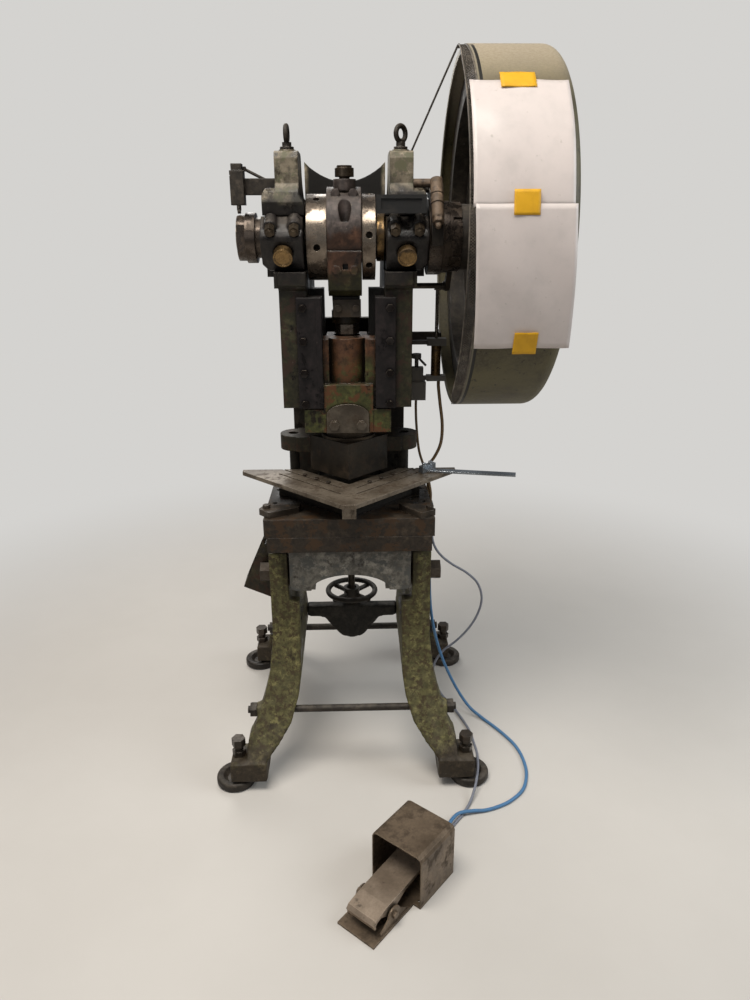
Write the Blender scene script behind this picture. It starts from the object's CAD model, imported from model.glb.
"""Looks of the stamping press: camera, cords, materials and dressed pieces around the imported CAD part."""

import math

import bpy
from mathutils import Matrix, Vector


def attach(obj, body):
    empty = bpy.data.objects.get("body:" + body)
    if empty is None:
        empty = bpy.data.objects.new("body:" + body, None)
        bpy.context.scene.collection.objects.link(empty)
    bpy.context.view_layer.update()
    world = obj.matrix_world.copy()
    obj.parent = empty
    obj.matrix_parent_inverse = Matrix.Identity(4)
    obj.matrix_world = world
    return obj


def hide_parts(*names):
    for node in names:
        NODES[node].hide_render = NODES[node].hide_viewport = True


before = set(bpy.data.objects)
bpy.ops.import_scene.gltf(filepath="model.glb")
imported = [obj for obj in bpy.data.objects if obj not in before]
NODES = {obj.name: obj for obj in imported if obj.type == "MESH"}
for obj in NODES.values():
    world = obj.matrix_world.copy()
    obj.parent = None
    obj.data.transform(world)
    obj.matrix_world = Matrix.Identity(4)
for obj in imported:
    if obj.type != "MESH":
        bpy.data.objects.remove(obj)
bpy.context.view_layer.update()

# Lengths are in metres. The origin is the middle of the bolster's top face.
FLOOR = -0.825          # height of the floor
CRANK_Z = 0.747         # height of the crank's axis, which is the guard's axis too
GUARD_R = 0.454         # outer radius of the guard

# Camera, fitted to the photo's perspective
EYE = (0.021, -2.173, 1.60 + FLOOR)
PICTURE_HEIGHT = 36     # millimetres, as the lens
LENS = 27.04
TURN = math.radians(-1.5)
TILT = math.radians(70)     # 90 degrees would look level
ROLL = -0.004


def make_camera():
    data = bpy.data.cameras.new("camera")
    data.sensor_fit = "VERTICAL"
    data.sensor_height = PICTURE_HEIGHT
    data.lens = LENS
    camera = bpy.data.objects.new("camera", data)
    camera.location = EYE
    aim = Matrix.Rotation(TURN, 4, "Z") @ Matrix.Rotation(TILT, 4, "X")
    camera.rotation_euler = (aim @ Matrix.Rotation(ROLL, 4, "Z")).to_euler()
    bpy.context.scene.collection.objects.link(camera)
    bpy.context.scene.camera = camera


make_camera()
bpy.context.scene.view_settings.view_transform = "Standard"


# Meshes
def add_mesh(name, verts, faces, material, smooth=False):
    mesh = bpy.data.meshes.new(name)
    mesh.from_pydata([tuple(v) for v in verts], [], faces)
    mesh.update()
    piece = bpy.data.objects.new(name, mesh)
    bpy.context.scene.collection.objects.link(piece)
    mesh.materials.append(material)
    if smooth:
        mesh.polygons.foreach_set("use_smooth", [True] * len(mesh.polygons))
    return piece


def apply_modifiers(piece):
    bpy.context.view_layer.update()
    done = piece.evaluated_get(bpy.context.evaluated_depsgraph_get())
    mesh = bpy.data.meshes.new_from_object(done)
    piece.modifiers.clear()
    piece.data = mesh


def copy_of(node, name):
    """A new object with a copy of a CAD node's mesh."""
    piece = bpy.data.objects.new(name, NODES[node].data.copy())
    bpy.context.scene.collection.objects.link(piece)
    return piece


CORD_STEP = 0.006       # about how far apart the points along a cord are


def catmull(points):
    """Points close together on one smooth curve through hand-chosen points."""
    points = [Vector(p) for p in points]
    line = []
    for i in range(len(points) - 1):
        a = points[max(i - 1, 0)]
        b = points[i]
        c = points[i + 1]
        d = points[min(i + 2, len(points) - 1)]
        square = 2 * a - 5 * b + 4 * c - d
        cube = 3 * b - a - 3 * c + d
        count = max(2, int((c - b).length / CORD_STEP))
        for k in range(count):
            s = k / count
            line.append(b + s / 2 * ((c - a) + s * (square + s * cube)))
    line.append(points[-1])
    return line


def make_tube(name, line, radius, material):
    curve = bpy.data.curves.new(name, "CURVE")
    curve.dimensions = "3D"
    curve.bevel_depth = radius
    curve.bevel_resolution = 4
    curve.use_fill_caps = True
    spline = curve.splines.new("POLY")
    spline.points.add(len(line) - 1)
    for point, place in zip(spline.points, line):
        point.co = (*place, 1)
    spline.use_smooth = True
    piece = bpy.data.objects.new(name, curve)
    bpy.context.scene.collection.objects.link(piece)
    curve.materials.append(material)
    return piece


# Material nodes
SHEEN = 0.3             # level of the plain reflection, which oil and dirt hold down
PAINT_ROUNDING = 0.005  # how far from an edge paint wears off it
METAL_ROUNDING = 0.002
EDGE_RANGE = (0.02, 0.16)       # bend of the normal where an edge starts and where it counts in full
DUST = (0.30, 0.26, 0.21)
SOIL = (0.12, 0.10, 0.08)
STAIN = (0.045, 0.030, 0.018)
NIGHT = (0.007, 0.006, 0.005)   # what lies deep inside the frame


class Paint:
    """A small builder of node materials."""

    def __init__(self, name):
        self.material = bpy.data.materials.new(name)
        self.material.use_nodes = True
        self.tree = self.material.node_tree
        self.shader = self.tree.nodes["Principled BSDF"]
        self.coord = self.tree.nodes.new("ShaderNodeTexCoord").outputs["Object"]

    def new(self, kind, **values):
        node = self.tree.nodes.new(kind)
        for key, value in values.items():
            setattr(node, key, value)
        return node

    def link(self, source, target):
        self.tree.links.new(source, target)

    def put(self, socket, value):
        """Gives a socket another socket's output, a colour or a number."""
        if isinstance(value, bpy.types.NodeSocket):
            self.link(value, socket)
        elif isinstance(value, tuple):
            socket.default_value = (*value, 1)
        else:
            socket.default_value = value

    def noise(self, scale, detail, rough, stretch=None, offset=(0, 0, 0)):
        """Cloudy values around 0.5; offset moves the pattern and stretch scales it along each axis."""
        place = self.coord
        if stretch or any(offset):
            mapping = self.new("ShaderNodeMapping")
            self.link(place, mapping.inputs["Vector"])
            mapping.inputs["Scale"].default_value = stretch or (1, 1, 1)
            mapping.inputs["Location"].default_value = offset
            place = mapping.outputs["Vector"]
        node = self.new("ShaderNodeTexNoise")
        self.link(place, node.inputs["Vector"])
        node.inputs["Scale"].default_value = scale
        node.inputs["Detail"].default_value = detail
        node.inputs["Roughness"].default_value = rough
        return node.outputs["Fac"]

    def ramp(self, value, low, high, start=0.0, end=1.0):
        """Maps low..high of a value to start..end, and clamps it."""
        node = self.new("ShaderNodeMapRange")
        node.interpolation_type = "SMOOTHSTEP"
        self.put(node.inputs["Value"], value)
        node.inputs["From Min"].default_value = low
        node.inputs["From Max"].default_value = high
        node.inputs["To Min"].default_value = start
        node.inputs["To Max"].default_value = end
        return node.outputs["Result"]

    def math(self, operation, a, b=0.0, clamp=False):
        node = self.new("ShaderNodeMath", operation=operation, use_clamp=clamp)
        self.put(node.inputs[0], a)
        self.put(node.inputs[1], b)
        return node.outputs[0]

    def mix(self, amount, a, b, blend="MIX"):
        node = self.new("ShaderNodeMix", data_type="RGBA", blend_type=blend)
        self.put(node.inputs[0], amount)
        self.put(node.inputs[6], a)
        self.put(node.inputs[7], b)
        return node.outputs[2]

    def times(self, amount, colour, factor):
        """Multiplies a colour by a plain factor where amount is 1."""
        return self.mix(amount, colour, (factor, factor, factor), blend="MULTIPLY")

    def rounded(self, radius):
        """The normal that a slightly rounded edge would have."""
        bevel = self.new("ShaderNodeBevel", samples=4)
        bevel.inputs["Radius"].default_value = radius
        return bevel.outputs["Normal"]

    def edges(self, rounded):
        """How near a sharp edge is, from the difference of the rounded and the true normal."""
        geometry = self.new("ShaderNodeNewGeometry")
        dot = self.new("ShaderNodeVectorMath", operation="DOT_PRODUCT")
        self.link(rounded, dot.inputs[0])
        self.link(geometry.outputs["Normal"], dot.inputs[1])
        return self.ramp(self.math("SUBTRACT", 1.0, dot.outputs["Value"]), *EDGE_RANGE)

    def hollows(self, distance=0.03, low=0.35, high=0.95):
        """1 in open places and 0 deep in corners, where oil and dirt gather."""
        node = self.new("ShaderNodeAmbientOcclusion", samples=4, only_local=False)
        node.inputs["Distance"].default_value = distance
        return self.ramp(node.outputs["AO"], low, high)

    def facing(self, axis, low, high, start=0.0, end=1.0):
        """How much the surface faces along an axis."""
        geometry = self.new("ShaderNodeNewGeometry")
        split = self.new("ShaderNodeSeparateXYZ")
        self.link(geometry.outputs["Normal"], split.inputs[0])
        return self.ramp(split.outputs[axis], low, high, start, end)

    def along(self, axis):
        """The place along an axis, in metres."""
        split = self.new("ShaderNodeSeparateXYZ")
        self.link(self.coord, split.inputs[0])
        return split.outputs[axis]

    def by_height(self, stops):
        """A colour as it is, or colours one above the other from a list of stops.
        Each stop is (height where it starts, height where it is full, colour); the first one's heights
        aren't used."""
        if isinstance(stops, tuple):
            return stops
        wander = self.ramp(self.noise(9, 5, 0.6, offset=(6, 1, 3)), 0.25, 0.75, -0.04, 0.04)
        height = self.math("ADD", self.along("Z"), wander)
        tone = stops[0][2]
        for low, high, colour in stops[1:]:
            tone = self.mix(self.ramp(height, low, high), tone, colour)
        return tone

    def bump(self, height, strength, distance, under=None):
        """Dents and bumps; under is the normal that they are added to."""
        node = self.new("ShaderNodeBump")
        node.inputs["Strength"].default_value = strength
        node.inputs["Distance"].default_value = distance
        self.put(node.inputs["Height"], height)
        if under is not None:
            self.link(under, node.inputs["Normal"])
        return node.outputs["Normal"]

    def finish(self, color, rough, normal, metal=0.0):
        self.put(self.shader.inputs["Base Color"], color)
        self.put(self.shader.inputs["Roughness"], rough)
        self.put(self.shader.inputs["Metallic"], metal)
        self.shader.inputs["Specular IOR Level"].default_value = SHEEN
        self.link(normal, self.shader.inputs["Normal"])
        return self.material


def worn_paint(name, paint, dark, grime=0.5, chips=0.5, dust=0.25, bare=(0.10, 0.085, 0.07), gloss=0.45,
               second=None, inside=None, patch=1.0):
    """Old paint on a casting: tones in patches, oily grime in hollows, chipped edges, dust on top faces.
    paint, dark (the grime) and second (a second tone) are colours or lists of stops for by_height.
    A larger patch makes the patches smaller. Front faces nearer to the middle than inside are black."""
    p = Paint(name)
    small = p.noise(60, 6, 0.7)
    light = p.by_height(paint)
    deep = p.by_height(dark)

    # Two tones in patches
    tone = p.times(p.ramp(small, 0.38, 0.62), light, 0.5)
    patches = p.ramp(p.noise(17 * patch, 6, 0.68, offset=(9, 2, 4)), 0.50, 0.60)
    tone = p.times(patches, tone, 1.75)
    if second:
        patches = p.ramp(p.noise(24 * patch, 8, 0.75, offset=(4, 9, 1)), 0.50, 0.56)
        tone = p.mix(patches, tone, p.by_height(second))

    # Grime in clouds, in streaks that run down, and in the hollows
    streak = p.noise(22, 5, 0.6, stretch=(1, 1, 0.22), offset=(3, 1, 7))
    dirt = p.math("ADD", p.math("MULTIPLY", p.noise(7, 6, 0.62), 0.55), p.math("MULTIPLY", streak, 0.5))
    dirt = p.math("ADD", dirt, p.math("MULTIPLY", small, 0.25))
    dirt = p.ramp(dirt, 0.87 - 0.38 * grime, 0.95 - 0.38 * grime)
    dirt = p.math("MAXIMUM", dirt, p.math("SUBTRACT", 1.0, p.hollows()), clamp=True)
    color = p.mix(dirt, tone, deep)

    # Chips along the edges and specks on the faces
    soft = p.rounded(PAINT_ROUNDING)
    broken = p.ramp(p.noise(45, 5, 0.65, offset=(5, 5, 5)), 0.62 - 0.3 * chips, 0.72 - 0.2 * chips)
    edge = p.math("MULTIPLY", p.edges(soft), broken)
    speck = p.ramp(p.noise(95, 4, 0.6, offset=(1, 8, 2)), 0.74 - 0.1 * chips, 0.78 - 0.1 * chips)
    chip = p.math("MAXIMUM", edge, speck)
    color = p.mix(chip, color, bare)

    if inside:
        middle = p.ramp(p.math("ABSOLUTE", p.along("X")), inside - 0.012, inside, 1.0, 0.0)
        middle = p.math("MULTIPLY", middle, p.ramp(p.along("Z"), 0.0, 0.05))
        front = p.facing("Y", -0.6, -0.2, 1.0, 0.0)
        color = p.mix(p.math("MULTIPLY", middle, front), color, NIGHT)
    settle = p.ramp(p.noise(30, 6, 0.6, offset=(2, 7, 7)), 0.35, 0.7, 0.0, dust)
    color = p.mix(p.math("MULTIPLY", p.facing("Z", 0.3, 0.9), settle), color, DUST)

    oily = p.math("ADD", dirt, p.math("MULTIPLY", small, 0.6))
    rough = p.ramp(oily, 0.2, 1.3, gloss + 0.2, gloss - 0.1)
    height = p.math("SUBTRACT", p.noise(38, 8, 0.7), p.math("MULTIPLY", chip, 0.5))
    normal = p.bump(height, 0.42, 0.0022, soft)
    normal = p.bump(p.noise(240, 4, 0.6), 0.25, 0.0006, normal)
    return p.finish(color, rough, normal)


def oily_metal(name, light, dark, rust=0.25, rough=0.42, shine=0.85, brush=None, edge=0.5, below=None):
    """Machined metal with an oil film: fine lines, brown stains, dirt in the corners, bright edges.
    brush stretches the fine lines. below is a height and the darker colour that pieces have under it."""
    p = Paint(name)
    fine = p.noise(180, 5, 0.7, stretch=brush) if brush else p.noise(120, 5, 0.7)
    tone = p.mix(p.ramp(p.noise(11, 6, 0.6, offset=(4, 2, 9)), 0.35, 0.68), light, dark)
    tone = p.mix(p.ramp(fine, 0.3, 0.75, 0.0, 0.4), tone, tuple(c * 0.55 for c in dark))
    blot = p.ramp(p.noise(26, 7, 0.68, offset=(8, 3, 1)), 0.62 - 0.3 * rust, 0.74 - 0.22 * rust)
    corners = p.math("SUBTRACT", 1.0, p.hollows(0.015, 0.3, 0.9))
    blot = p.math("MAXIMUM", blot, corners, clamp=True)
    tone = p.mix(p.math("MULTIPLY", blot, 0.85), tone, STAIN)
    if below:
        under = p.ramp(p.along("Z"), below[0] - 0.005, below[0] + 0.005, 1.0, 0.0)
        tone = p.mix(under, tone, below[1])
    soft = p.rounded(METAL_ROUNDING)
    near = p.math("MULTIPLY", p.edges(soft), edge)
    tone = p.mix(near, tone, tuple(min(1, c * 1.5 + 0.05) for c in light))
    film = p.math("ADD", fine, p.math("MULTIPLY", blot, 0.6))
    gloss = p.ramp(film, 0.3, 1.3, rough - 0.12, rough + 0.25)
    metal = p.ramp(blot, 0.0, 1.0, shine, shine * 0.35)
    normal = p.bump(fine, 0.18, 0.0006, soft)
    normal = p.bump(p.noise(50, 5, 0.6), 0.12, 0.001, normal)
    return p.finish(tone, gloss, normal, metal)


def plain_plastic(name, color, rough, grain, dirt):
    p = Paint(name)
    soil = p.ramp(p.noise(35, 6, 0.6), 0.5, 0.75, 0.0, dirt)
    tone = p.mix(soil, color, SOIL)
    gloss = p.ramp(p.noise(20, 4, 0.5), 0.3, 0.7, rough, rough + 0.2)
    return p.finish(tone, gloss, p.bump(p.noise(300, 3, 0.5), grain, 0.0004))


# Materials. Colours in lists are stops for by_height.
FRAME_PAINT = [
    (0, 0, (0.135, 0.125, 0.105)),
    (-0.06, 0.02, (0.018, 0.014, 0.009)),
    (0.20, 0.32, (0.026, 0.024, 0.011)),
    (0.60, 0.68, (0.014, 0.011, 0.009)),
    (0.84, 0.90, (0.200, 0.168, 0.120)),
]
FRAME_DARK = [
    (0, 0, (0.034, 0.029, 0.024)),
    (-0.06, 0.02, (0.008, 0.006, 0.005)),
    (0.84, 0.90, (0.045, 0.037, 0.025)),
]
FRAME_SECOND = [
    (0, 0, (0.070, 0.070, 0.064)),
    (-0.06, 0.02, (0.022, 0.012, 0.007)),
    (0.20, 0.32, (0.030, 0.016, 0.010)),
    (0.60, 0.68, (0.010, 0.008, 0.007)),
    (0.84, 0.90, (0.110, 0.105, 0.062)),
]
LEG_PAINT = [(0, 0, (0.045, 0.033, 0.020)), (-0.74, -0.66, (0.098, 0.088, 0.034))]
LEG_SECOND = [(0, 0, (0.034, 0.024, 0.014)), (-0.74, -0.66, (0.046, 0.032, 0.014))]
RAM_PAINT = [(0, 0, (0.050, 0.052, 0.015)), (0.38, 0.44, (0.085, 0.038, 0.018))]
CONROD_PAINT = [
    (0, 0, (0.026, 0.024, 0.008)),
    (0.640, 0.690, (0.050, 0.024, 0.014)),
    (0.735, 0.765, (0.058, 0.045, 0.040)),
]

paint_frame = worn_paint("paint_frame", FRAME_PAINT, FRAME_DARK, grime=0.45, chips=0.4, dust=0.15,
                         gloss=0.36, second=FRAME_SECOND, inside=0.112)
paint_legs = worn_paint("paint_legs", LEG_PAINT, (0.024, 0.017, 0.009), grime=0.42, chips=0.4, dust=0.2,
                        second=LEG_SECOND, gloss=0.46, patch=2.6)
paint_beam = worn_paint("paint_beam", (0.022, 0.019, 0.015), (0.009, 0.008, 0.006), grime=0.45, chips=0.3,
                        dust=0.25)
paint_caps = worn_paint("paint_caps", (0.024, 0.020, 0.018), (0.008, 0.007, 0.007), grime=0.5, chips=0.35,
                        dust=0.2, bare=(0.11, 0.085, 0.06), gloss=0.32)
paint_ram = worn_paint("paint_ram", RAM_PAINT, (0.012, 0.009, 0.006), grime=0.48, chips=0.4, dust=0.1,
                       second=(0.085, 0.034, 0.013), bare=(0.15, 0.12, 0.08), gloss=0.32)
paint_gibs = worn_paint("paint_gibs", (0.010, 0.007, 0.007), (0.004, 0.003, 0.003), grime=0.5, chips=0.2,
                        dust=0.1, bare=(0.06, 0.045, 0.035), gloss=0.34)
paint_conrod = worn_paint("paint_conrod", CONROD_PAINT, (0.018, 0.014, 0.012), grime=0.42, chips=0.4,
                          dust=0.12, bare=(0.15, 0.12, 0.09), gloss=0.34)
paint_shank = worn_paint("paint_shank", (0.024, 0.019, 0.009), (0.009, 0.007, 0.005), grime=0.42, chips=0.3,
                         dust=0.1, second=(0.034, 0.016, 0.008), gloss=0.36)
paint_tool = worn_paint("paint_tool", (0.026, 0.021, 0.014), (0.011, 0.009, 0.007), grime=0.45, chips=0.35,
                        dust=0.12, bare=(0.09, 0.07, 0.05), gloss=0.38)
cast_dark = worn_paint("cast_dark", (0.034, 0.027, 0.020), (0.014, 0.011, 0.009), grime=0.5, chips=0.5,
                       dust=0.2, gloss=0.4)
cast_bolster = worn_paint("cast_bolster", (0.028, 0.020, 0.013), (0.010, 0.008, 0.006), grime=0.45,
                          chips=0.35, dust=0.05, second=(0.040, 0.021, 0.009), bare=(0.12, 0.095, 0.07),
                          gloss=0.36)
spring_tan = worn_paint("spring_tan", (0.150, 0.105, 0.070), (0.050, 0.034, 0.024), grime=0.45, chips=0.3,
                        dust=0.1)
mesh_paint = worn_paint("mesh_paint", (0.130, 0.110, 0.088), (0.050, 0.042, 0.034), grime=0.3, chips=0.2,
                        dust=0.1)
guard_inside = worn_paint("guard_inside", (0.030, 0.026, 0.018), (0.010, 0.009, 0.007), grime=0.5,
                          chips=0.3)

steel_bright = oily_metal("steel_bright", (0.34, 0.30, 0.25), (0.16, 0.135, 0.11), rough=0.34)
steel_block = oily_metal("steel_block", (0.150, 0.125, 0.096), (0.055, 0.044, 0.033), rust=0.35,
                         shine=0.4)
steel_turned = oily_metal("steel_turned", (0.30, 0.25, 0.20), (0.12, 0.095, 0.075), rust=0.45, rough=0.30,
                          brush=(9, 1, 1))
steel_ring = oily_metal("steel_ring", (0.100, 0.080, 0.066), (0.036, 0.029, 0.025), rust=0.5, rough=0.30,
                        brush=(9, 1, 1))
steel_dark = oily_metal("steel_dark", (0.085, 0.070, 0.056), (0.034, 0.028, 0.022), rust=0.5, rough=0.40,
                        shine=0.6)
steel_table = oily_metal("steel_table", (0.230, 0.190, 0.145), (0.100, 0.078, 0.056), rust=0.45,
                         shine=0.4)
steel_punch = oily_metal("steel_punch", (0.040, 0.032, 0.022), (0.018, 0.014, 0.010), rust=0.5, shine=0.3)
steel_ruler = oily_metal("steel_ruler", (0.34, 0.37, 0.40), (0.20, 0.22, 0.24), rust=0.05, rough=0.36)
bronze = oily_metal("bronze", (0.26, 0.165, 0.07), (0.11, 0.07, 0.035), rust=0.35, rough=0.36)
cap_bolts = oily_metal("cap_bolts", (0.095, 0.070, 0.044), (0.040, 0.030, 0.020), rust=0.4, rough=0.38,
                       shine=0.6, edge=0.35, below=(0.62, (0.012, 0.009, 0.008)))
brass_dull = oily_metal("brass_dull", (0.080, 0.060, 0.040), (0.034, 0.026, 0.018), rust=0.4, rough=0.38,
                        shine=0.6)
sheet_bare = oily_metal("sheet_bare", (0.235, 0.175, 0.120), (0.110, 0.080, 0.054), rust=0.45, rough=0.46,
                        shine=0.45)
sheet_tread = oily_metal("sheet_tread", (0.42, 0.33, 0.25), (0.24, 0.185, 0.135), rust=0.2, shine=0.45)

rubber_blue = plain_plastic("rubber_blue", (0.075, 0.19, 0.36), rough=0.38, grain=0.05, dirt=0.25)
sheath_grey = plain_plastic("sheath_grey", (0.20, 0.21, 0.25), rough=0.42, grain=0.05, dirt=0.25)
rubber_ochre = plain_plastic("rubber_ochre", (0.110, 0.068, 0.030), rough=0.42, grain=0.08, dirt=0.3)
plastic_black = plain_plastic("plastic_black", (0.016, 0.016, 0.016), rough=0.42, grain=0.2, dirt=0.15)
housing_grey = plain_plastic("housing_grey", (0.085, 0.080, 0.072), rough=0.45, grain=0.3, dirt=0.5)

# Places on the guard, each with where a colour starts to change and where it has changed
RIM_END = (0.3038, 0.3044)          # right edge of the light rim bar
GROOVE_LEFT = (0.3040, 0.3052)
GROOVE_RIGHT = (0.3112, 0.3124)
GROOVE_BACK = (-0.16, -0.10)        # the groove shows on the front only
PALE_TOP = (1.02, 1.19)             # the olive turns pale between these heights


def guard_material():
    """Olive sheet with a fine grain, its light rim bar and the dark groove beside it."""
    p = Paint("paint_guard")
    across = p.along("X")
    grain = p.noise(150, 5, 0.7)
    tone = p.mix(p.ramp(p.noise(9, 6, 0.62), 0.35, 0.7), (0.088, 0.074, 0.030), (0.040, 0.031, 0.013))
    tone = p.mix(p.ramp(grain, 0.35, 0.75, 0.0, 0.6), tone, (0.110, 0.098, 0.060))
    speck = p.ramp(p.noise(60, 5, 0.7, offset=(7, 3, 3)), 0.60, 0.68)
    tone = p.mix(speck, tone, (0.022, 0.017, 0.011))
    pale = p.mix(p.ramp(grain, 0.35, 0.7), (0.34, 0.285, 0.205), (0.27, 0.225, 0.16))
    tone = p.mix(p.ramp(p.along("Z"), *PALE_TOP), tone, pale)
    groove = p.math("MULTIPLY", p.ramp(across, *GROOVE_LEFT), p.ramp(across, *GROOVE_RIGHT, 1.0, 0.0))
    groove = p.math("MULTIPLY", groove, p.ramp(p.along("Y"), *GROOVE_BACK, 1.0, 0.0))
    tone = p.mix(groove, tone, (0.010, 0.009, 0.007))
    rim = p.ramp(across, *RIM_END, 1.0, 0.0)
    tone = p.mix(p.math("MULTIPLY", rim, 0.6), tone, (0.16, 0.145, 0.11))
    height = p.math("SUBTRACT", grain, p.math("MULTIPLY", groove, 3.0))
    return p.finish(tone, p.ramp(grain, 0.3, 0.7, 0.42, 0.6), p.bump(height, 0.35, 0.0012))


paint_guard = guard_material()

LOOKS = {
    "left_leg": paint_legs, "right_leg": paint_legs, "cross_beam": paint_beam,
    "tool_tray": paint_shank, "levelling_pads": cast_dark, "levelling_bolts": steel_dark,
    "tie_rods": cast_dark, "pivot_bolts": steel_dark, "pedal_base": sheet_bare,
    "pedal_hood": sheet_bare, "pedal_tread": sheet_tread, "blue_hose": rubber_blue,
    "grey_cable": sheath_grey, "handwheel": cast_dark, "tilt_screw": steel_dark,
    "frame_casting": paint_frame, "bearing_caps": paint_caps, "bearing_brasses": bronze,
    "gibs": paint_gibs, "frame_bolts": cap_bolts, "eye_bolts": cast_dark,
    "bolster_plate": cast_bolster, "bolster_base": cast_bolster, "lower_shoe": paint_tool,
    "die_block": steel_table, "die_table": steel_table, "tool_screws": steel_dark,
    "clamps": steel_dark, "side_stop": steel_ruler, "brake_shoe": cast_dark,
    "brake_springs": spring_tan, "limit_switch": cast_dark, "switch_plunger": steel_bright,
    "position_switch": plastic_black, "guard_drum": paint_guard, "guard_mesh": guard_inside,
    "guard_stay": cast_dark, "air_cylinder": bronze, "cylinder_rod": steel_bright,
    "trip_lever": steel_dark, "trip_pin": steel_dark, "air_fittings": housing_grey,
    "air_hoses": rubber_ochre, "crankshaft": steel_turned, "eccentric_sleeve": steel_turned,
    "locking_disc": steel_turned, "cam_discs": steel_ring, "brake_disc": steel_ring,
    "clutch_ring": steel_ring, "flywheel": cast_dark, "conrod": paint_shank,
    "conrod_cap": paint_conrod, "oil_cup": brass_dull, "adjusting_screw": steel_turned,
    "screw_clamp": steel_dark, "ram": paint_ram, "shank_clamp": steel_block,
    "punch_plate": brass_dull, "upper_shoe": paint_shank, "punch_block": steel_punch,
}
for node, look in LOOKS.items():
    mesh = NODES[node].data
    mesh.materials.clear()
    mesh.materials.append(look)


# Cords, with their points in millimetres and heights above the floor
BLUE = [
    (236, -628.8, 40), (242, -612, 39), (252, -570, 34), (266, -515, 24), (300, -464, 17),
    (345, -448, 11.5), (385, -440, 6), (430, -424, 5.6), (470, -400, 5.6), (512, -356, 5.6),
    (536, -290, 5.6), (540, -222, 5.6), (530, -160, 5.6), (506, -104, 5.6), (476, -52, 5.6), (444, -6, 7),
    (406, 36, 22), (372, 66, 62), (340, 80, 122), (310, 84, 196), (286, 80, 280), (268, 68, 376),
    (258, 44, 474), (253, 20, 566), (251, 9, 626), (250, 5.5, 667), (250, 7, 695), (250, 14.1, 721.5),
    (250, 33.5, 740.9), (250, 60, 748), (250, 89.6, 748),
]
GREY = [
    (205.6, -603.2, 22), (213, -590, 20.5), (236, -556, 13), (262, -520, 7), (290, -486, 5.4),
    (318, -450, 5.4), (344, -408, 9), (362, -370, 23), (374, -334, 34), (384, -290, 37.5),
    (390, -244, 33), (395, -200, 19), (396, -140, 6.5), (390, -70, 5.4), (372, 0, 5.4), (350, 60, 8),
    (322, 100, 22), (298, 118, 56), (286, 122, 104), (290, 121, 150), (318, 120, 198), (364, 120, 238),
    (406, 120, 288), (435, 120, 345), (445, 118, 404), (428, 112, 462), (388, 100, 508), (336, 84, 548),
    (300, 66, 584), (276, 49, 620), (264, 39, 652), (260.5, 34.4, 674), (260, 34, 695),
    (260, 39.6, 715.5), (260, 55, 730.9), (260, 76, 736.5), (260, 89.6, 737),
]


def in_metres(points):
    return [(x / 1000, y / 1000, z / 1000 + FLOOR) for x, y, z in points]


def make_cord(name, points, radius, material, node):
    line = catmull(in_metres(points))
    piece = make_tube(name, line, radius, material)
    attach(piece, "stand")
    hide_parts(node)


make_cord("blue_hose_look", BLUE, 0.005, rubber_blue, "blue_hose")
make_cord("grey_cable_look", GREY, 0.004, sheath_grey, "grey_cable")


# Rounded castings
def soften(node, body, voxel, rounds, swell):
    """Replaces a cast node by a copy with rounded edges and a slightly uneven skin."""
    piece = copy_of(node, node + "_cast")
    remesh = piece.modifiers.new("remesh", "REMESH")
    remesh.mode = "VOXEL"
    remesh.voxel_size = voxel
    round_off = piece.modifiers.new("smooth", "SMOOTH")
    round_off.factor = 0.5
    round_off.iterations = rounds
    texture = bpy.data.textures.new(node + "_skin", "CLOUDS")
    texture.noise_scale = 0.05
    uneven = piece.modifiers.new("skin", "DISPLACE")
    uneven.texture = texture
    uneven.texture_coords = "LOCAL"
    uneven.strength = swell
    uneven.mid_level = 0.5
    apply_modifiers(piece)
    piece.data.polygons.foreach_set("use_smooth", [True] * len(piece.data.polygons))
    piece.data.materials.clear()
    piece.data.materials.append(LOOKS[node])
    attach(piece, body)
    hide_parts(node)


soften("left_leg", "stand", voxel=0.005, rounds=4, swell=0.0015)
soften("right_leg", "stand", voxel=0.005, rounds=4, swell=0.0015)
soften("cross_beam", "stand", voxel=0.004, rounds=3, swell=0.001)
soften("bearing_caps", "frame", voxel=0.003, rounds=3, swell=0.0008)


# Expanded metal of the guard
MESH_X = (0.272, 0.2992)        # left and right edge of the strip of mesh
MESH_END = math.radians(78)     # how far the strip reaches up and down round the drum's front
MESH_FULL = math.radians(58)    # up to here it has its full width
TAPER_TOP = 0.009               # how much narrower its upper end is
TAPER_BOTTOM = 0.020
MESH_MARGIN = 0.002             # the diamonds end this far inside the strip's edges
MESH_IN = GUARD_R - 0.003       # radius of the diamonds
BAR_IN = MESH_IN - 0.0008       # inner radius of the bars along the edges
LEFT_BAR = 0.0026
RIGHT_BAR = 0.003


def mesh_left(angle):
    """The strip's left edge: it tapers towards both ends."""
    past = max(0.0, abs(angle) - MESH_FULL) / (MESH_END - MESH_FULL)
    return MESH_X[0] + past * (TAPER_TOP if angle > 0 else TAPER_BOTTOM)


def on_drum(x, radius, angle):
    """A point round the guard's axis; angle 0 is the front, above 0 is higher up."""
    return Vector((x, -radius * math.cos(angle), CRANK_Z + radius * math.sin(angle)))


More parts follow.
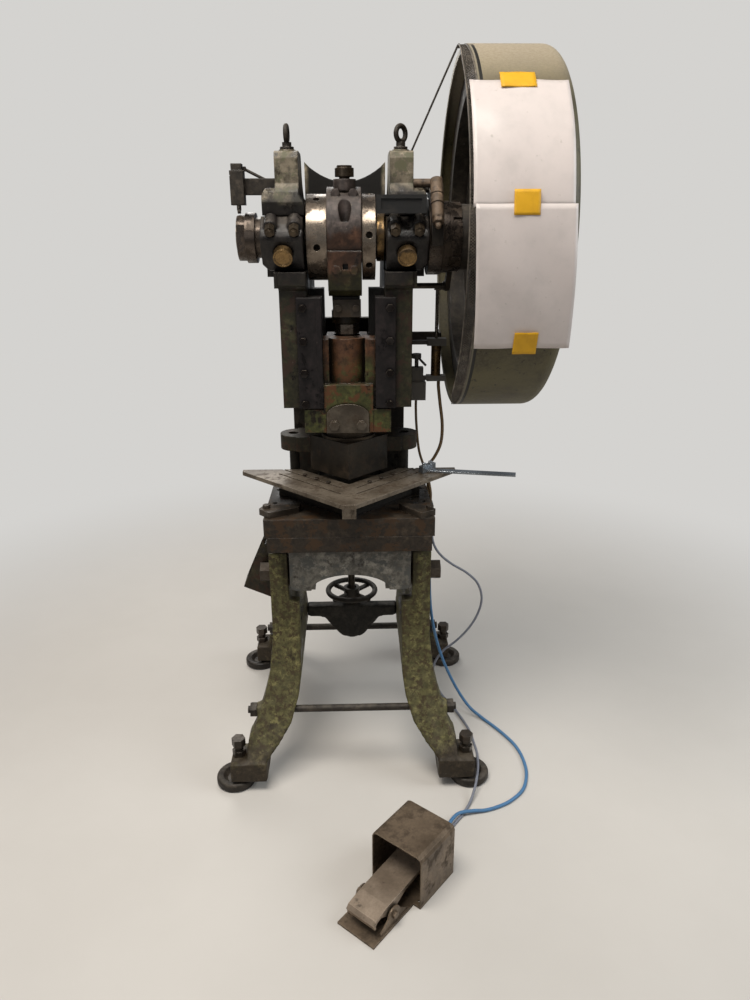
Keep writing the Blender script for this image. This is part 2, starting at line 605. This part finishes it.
def make_expanded_metal():
    """Fine diamonds on the strip bent round the front of the guard."""
    pitch = 0.0066
    rows = 6
    half_width = 0.0006
    thick = 0.0012
    count = int(2 * MESH_END * GUARD_R / pitch)
    verts = []
    faces = []

    def at(row, step):
        angle = -MESH_END + 2 * MESH_END * (step + (0.5 if row % 2 else 0)) / count
        left = mesh_left(angle) + MESH_MARGIN
        return angle, left + (MESH_X[1] - MESH_MARGIN - left) * row / rows

    def strut(a, b):
        ends = [on_drum(x, MESH_IN, angle) for angle, x in (a, b)]
        out = (on_drum(0, 1, a[0]) - on_drum(0, 0, a[0])).normalized()
        side = (ends[1] - ends[0]).normalized().cross(out) * half_width
        first = len(verts)
        for end in ends:
            for rise, s in ((0, -1), (0, 1), (thick, 1), (thick, -1)):
                verts.append(end + out * rise + side * s)
        for k in range(4):
            n = (k + 1) % 4
            faces.append((first + k, first + 4 + k, first + 4 + n, first + n))
        faces.append((first, first + 1, first + 2, first + 3))
        faces.append((first + 7, first + 6, first + 5, first + 4))

    for row in range(rows):
        shift = 0 if row % 2 else -1
        for step in range(1, count - 1):
            strut(at(row, step), at(row + 1, step + shift))
            strut(at(row, step), at(row + 1, step + shift + 1))
    piece = add_mesh("expanded_metal", verts, faces, mesh_paint)
    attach(piece, "frame")
    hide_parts("guard_mesh")


def make_edge_bar(name, place, width):
    """A flat bar along one edge of the strip; place gives its left side for an angle."""
    sides = 120
    verts = []
    faces = []
    for k in range(sides + 1):
        angle = MESH_END * (2 * k / sides - 1)
        x = place(angle)
        for dx, radius in ((0, BAR_IN), (width, BAR_IN), (width, GUARD_R), (0, GUARD_R)):
            verts.append(on_drum(x + dx, radius, angle))
    for k in range(sides):
        for j in range(4):
            m = (j + 1) % 4
            faces.append((4 * k + j, 4 * k + m, 4 * k + 4 + m, 4 * k + 4 + j))
    faces.append((3, 2, 1, 0))
    faces.append(tuple(4 * sides + j for j in range(4)))
    bar = add_mesh(name, verts, faces, mesh_paint)
    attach(bar, "frame")


make_expanded_metal()
make_edge_bar("mesh_left_bar", mesh_left, LEFT_BAR)
make_edge_bar("mesh_right_bar", lambda angle: MESH_X[1] - RIGHT_BAR, RIGHT_BAR)


# Sheets on the guard
def paper_material():
    p = Paint("laminated_paper")
    clouds = p.ramp(p.noise(18, 5, 0.6), 0.4, 0.75, 0.0, 0.5)
    tone = p.mix(clouds, (0.56, 0.50, 0.475), (0.44, 0.40, 0.38))
    spots = p.ramp(p.noise(55, 5, 0.65, offset=(2, 2, 2)), 0.64, 0.72, 0.0, 0.55)
    tone = p.mix(spots, tone, (0.30, 0.27, 0.23))
    p.shader.inputs["Coat Weight"].default_value = 0.25
    p.shader.inputs["Coat Roughness"].default_value = 0.2
    return p.finish(tone, 0.42, p.bump(p.noise(14, 3, 0.5), 0.25, 0.004))


def tape_material():
    p = Paint("yellow_tape")
    clouds = p.ramp(p.noise(40, 5, 0.6), 0.4, 0.7, 0.0, 0.6)
    tone = p.mix(clouds, (0.62, 0.33, 0.012), (0.50, 0.26, 0.010))
    return p.finish(tone, 0.5, p.bump(p.noise(160, 3, 0.6), 0.35, 0.0008))


paper = paper_material()
tape = tape_material()
SHEET_THICK = 0.0007


def drum_sheet(name, across, heights, lift, material, hang=0.0, lean=0.0, wave=0.0016, steps=24):
    """A thin sheet on the front of the drum.
    across: its left and right edge; heights: its lower and upper edge over the crank's axis;
    lift: how far it stands off the drum; hang: how far its lower edge hangs free besides;
    lean: how far that edge swings to the right; wave: how wavy it is."""
    low = math.asin(heights[0] / (GUARD_R + lift))
    high = math.asin(heights[1] / (GUARD_R + lift))
    verts = []
    faces = []
    for i in range(steps + 1):
        v = i / steps
        angle = low + (high - low) * v
        for j in range(steps + 1):
            u = j / steps
            ripple = wave * (1 + math.sin(9 * u + 3 * v) * math.sin(7 * v + 1))
            radius = GUARD_R + lift + ripple + hang * (1 - v) ** 2
            x = across[0] + (across[1] - across[0]) * u + lean * (1 - v)
            for r in (radius, radius + SHEET_THICK):
                verts.append(on_drum(x, r, angle))
    row = 2 * (steps + 1)
    for i in range(steps):
        for j in range(steps):
            q = i * row + 2 * j
            faces.append((q, q + row, q + row + 2, q + 2))
            faces.append((q + 1, q + 3, q + row + 3, q + row + 1))
    for i in range(steps):
        for j in (0, steps):
            q = i * row + 2 * j
            side = (q, q + 1, q + row + 1, q + row)
            faces.append(side if j == 0 else side[::-1])
    for j in range(steps):
        for i in (0, steps):
            q = i * row + 2 * j
            side = (q, q + 2, q + 3, q + 1)
            faces.append(side if i == 0 else side[::-1])
    piece = add_mesh(name, verts, faces, material, smooth=True)
    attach(piece, "frame")


drum_sheet("upper_sheet", (0.280, 0.500), (0.066, 0.329), 0.001, paper)
drum_sheet("lower_sheet", (0.284, 0.505), (-0.222, 0.073), 0.0054, paper, hang=0.030, lean=0.012)
TAPE_WAVE = 0.0005
drum_sheet("tape_top", (0.348, 0.427), (0.313, 0.347), 0.0050, tape, wave=TAPE_WAVE, steps=8)
drum_sheet("tape_middle", (0.366, 0.423), (0.050, 0.102), 0.0098, tape, wave=TAPE_WAVE, steps=8)
drum_sheet("tape_bottom", (0.386, 0.441), (-0.248, -0.200), 0.0345, tape, hang=0.006,
           wave=TAPE_WAVE, steps=8)


# Floor and light
BACKGROUND = (0.66, 0.65, 0.63)
SKY = (0.93, 0.96, 1.0)
SKY_LIGHT = 0.21
FLOOR_REACH = 9
FLOOR_FADE = (1.3, 3.0)     # between these distances the floor turns into the plain background


def make_floor():
    p = Paint("floor")
    clouds = p.ramp(p.noise(3, 6, 0.6), 0.3, 0.7, 0.0, 0.25)
    tone = p.mix(clouds, (0.60, 0.57, 0.53), (0.53, 0.50, 0.46))
    material = p.finish(tone, 0.6, p.bump(p.noise(60, 5, 0.6), 0.05, 0.001))
    far = p.new("ShaderNodeVectorMath", operation="LENGTH")
    p.link(p.coord, far.inputs[0])
    seen = p.new("ShaderNodeLightPath").outputs["Is Camera Ray"]
    fade = p.math("MULTIPLY", p.ramp(far.outputs["Value"], *FLOOR_FADE), seen)
    glow = p.new("ShaderNodeEmission")
    glow.inputs["Color"].default_value = (*BACKGROUND, 1)
    blend = p.new("ShaderNodeMixShader")
    p.link(fade, blend.inputs[0])
    p.link(p.shader.outputs[0], blend.inputs[1])
    p.link(glow.outputs[0], blend.inputs[2])
    p.link(blend.outputs[0], p.tree.nodes["Material Output"].inputs["Surface"])
    signs = ((-1, -1), (1, -1), (1, 1), (-1, 1))
    corners = [(FLOOR_REACH * x, FLOOR_REACH * y, FLOOR) for x, y in signs]
    floor = add_mesh("floor", corners, [(0, 1, 2, 3)], material)


def make_world():
    world = bpy.data.worlds.new("studio")
    bpy.context.scene.world = world
    world.use_nodes = True
    nodes = world.node_tree.nodes
    links = world.node_tree.links
    light = nodes["Background"]
    light.inputs["Color"].default_value = (*SKY, 1)
    light.inputs["Strength"].default_value = SKY_LIGHT
    pale = nodes.new("ShaderNodeBackground")
    pale.inputs["Color"].default_value = (*BACKGROUND, 1)
    pale.inputs["Strength"].default_value = 1.0
    path = nodes.new("ShaderNodeLightPath")
    mix = nodes.new("ShaderNodeMixShader")
    links.new(path.outputs["Is Camera Ray"], mix.inputs[0])
    links.new(light.outputs[0], mix.inputs[1])
    links.new(pale.outputs[0], mix.inputs[2])
    links.new(mix.outputs[0], nodes["World Output"].inputs["Surface"])


def area_lamp(name, place, aim, size, power, color):
    data = bpy.data.lights.new(name, "AREA")
    data.shape = "RECTANGLE"
    data.size, data.size_y = size
    data.energy = power
    data.color = color
    lamp = bpy.data.objects.new(name, data)
    lamp.location = place
    lamp.rotation_euler = (Vector(aim) - Vector(place)).to_track_quat("-Z", "Y").to_euler()
    bpy.context.scene.collection.objects.link(lamp)


make_floor()
make_world()
area_lamp("ceiling", place=(-0.6, -1.2, 3.2), aim=(0, 0, 0.2), size=(2.4, 1.6), power=130,
          color=(1.0, 0.95, 0.88))
area_lamp("window", place=(2.6, -0.6, 1.4), aim=(0.1, 0, 0.3), size=(1.6, 1.6), power=35,
          color=(0.92, 0.97, 1.0))
area_lamp("front", place=(-1.6, -3.0, 1.6), aim=(0, 0, 0.2), size=(1.8, 1.8), power=12,
          color=(1.0, 0.98, 0.95))
area_lamp("back", place=(-1.0, 2.8, 2.2), aim=(0, 0.1, 0.3), size=(2.0, 2.0), power=45,
          color=(1.0, 0.98, 0.95))
